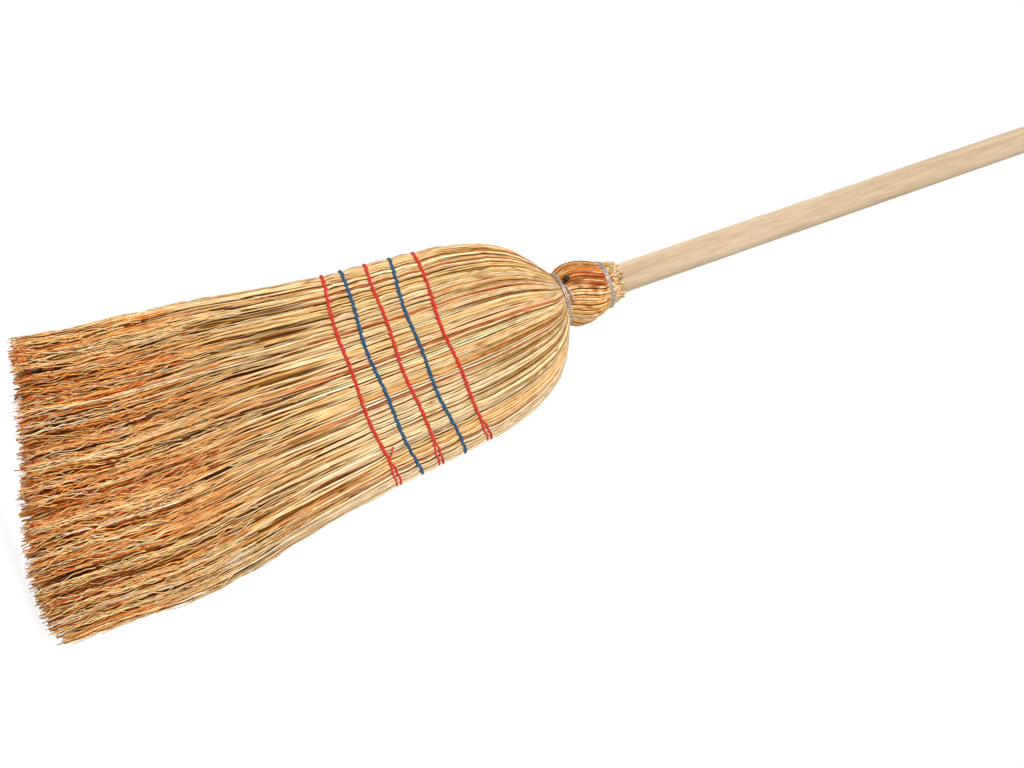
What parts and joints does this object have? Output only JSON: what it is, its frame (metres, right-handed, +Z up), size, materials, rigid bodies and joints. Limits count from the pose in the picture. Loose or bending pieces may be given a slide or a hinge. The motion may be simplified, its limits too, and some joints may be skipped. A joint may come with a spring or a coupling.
{
  "type": "straw broom",
  "caption": "Household broom: a round wooden handle in a flat fan of straw, bound with wire at a bulbous neck and sewn across with twine below the shoulders",
  "frame": {"origin": "on the floor at the longest tips, on the handle's axis, which lies near the middle of the head's width", "axes": "+Z runs up the handle, the broad front face looks along -Y, +X is to the right as seen from the front"},
  "size_m": [0.2438, 0.0608, 1.45],
  "materials": {
    "handle_wood": "plain sanded pale wood, unvarnished",
    "straw": "dry sorghum straw, pale yellow to orange-brown, slightly glossy stalks",
    "core_straw": "dry sorghum straw, darker, matte",
    "galvanised_wire": "galvanised, semi-bright",
    "nail_steel": "dark steel",
    "twine_red": "twisted twine, dyed red",
    "twine_blue": "twisted twine, dyed teal blue"
  },
  "bodies": {
    "root": {"handle": "handle_wood", "neck_nail": "nail_steel", "neck_wire": "galvanised_wire", "collar_wire": "galvanised_wire", "shoulder_bundle_left": "straw", "shoulder_bundle_right": "straw", "cover_front_1": "straw", "cover_back_1": "straw", "core_1": "core_straw", "cover_front_2": "straw", "cover_back_2": "straw", "core_2": "core_straw", "cover_front_3": "straw", "cover_back_3": "straw", "core_3": "core_straw", "cover_front_4": "straw", "cover_back_4": "straw", "core_4": "core_straw", "cover_front_5": "straw", "cover_back_5": "straw", "core_5": "core_straw", "cover_front_6": "straw", "cover_back_6": "straw", "core_6": "core_straw", "cover_front_7": "straw", "cover_back_7": "straw", "core_7": "core_straw", "seam_1_band": "twine_red", "seam_1_stitches": "twine_red", "seam_2_band": "twine_blue", "seam_2_stitches": "twine_blue", "seam_3_band": "twine_red", "seam_3_stitches": "twine_red", "seam_4_band": "twine_blue", "seam_4_stitches": "twine_blue", "seam_5_band": "twine_red", "seam_5_stitches": "twine_red"}
  },
  "joints": []
}
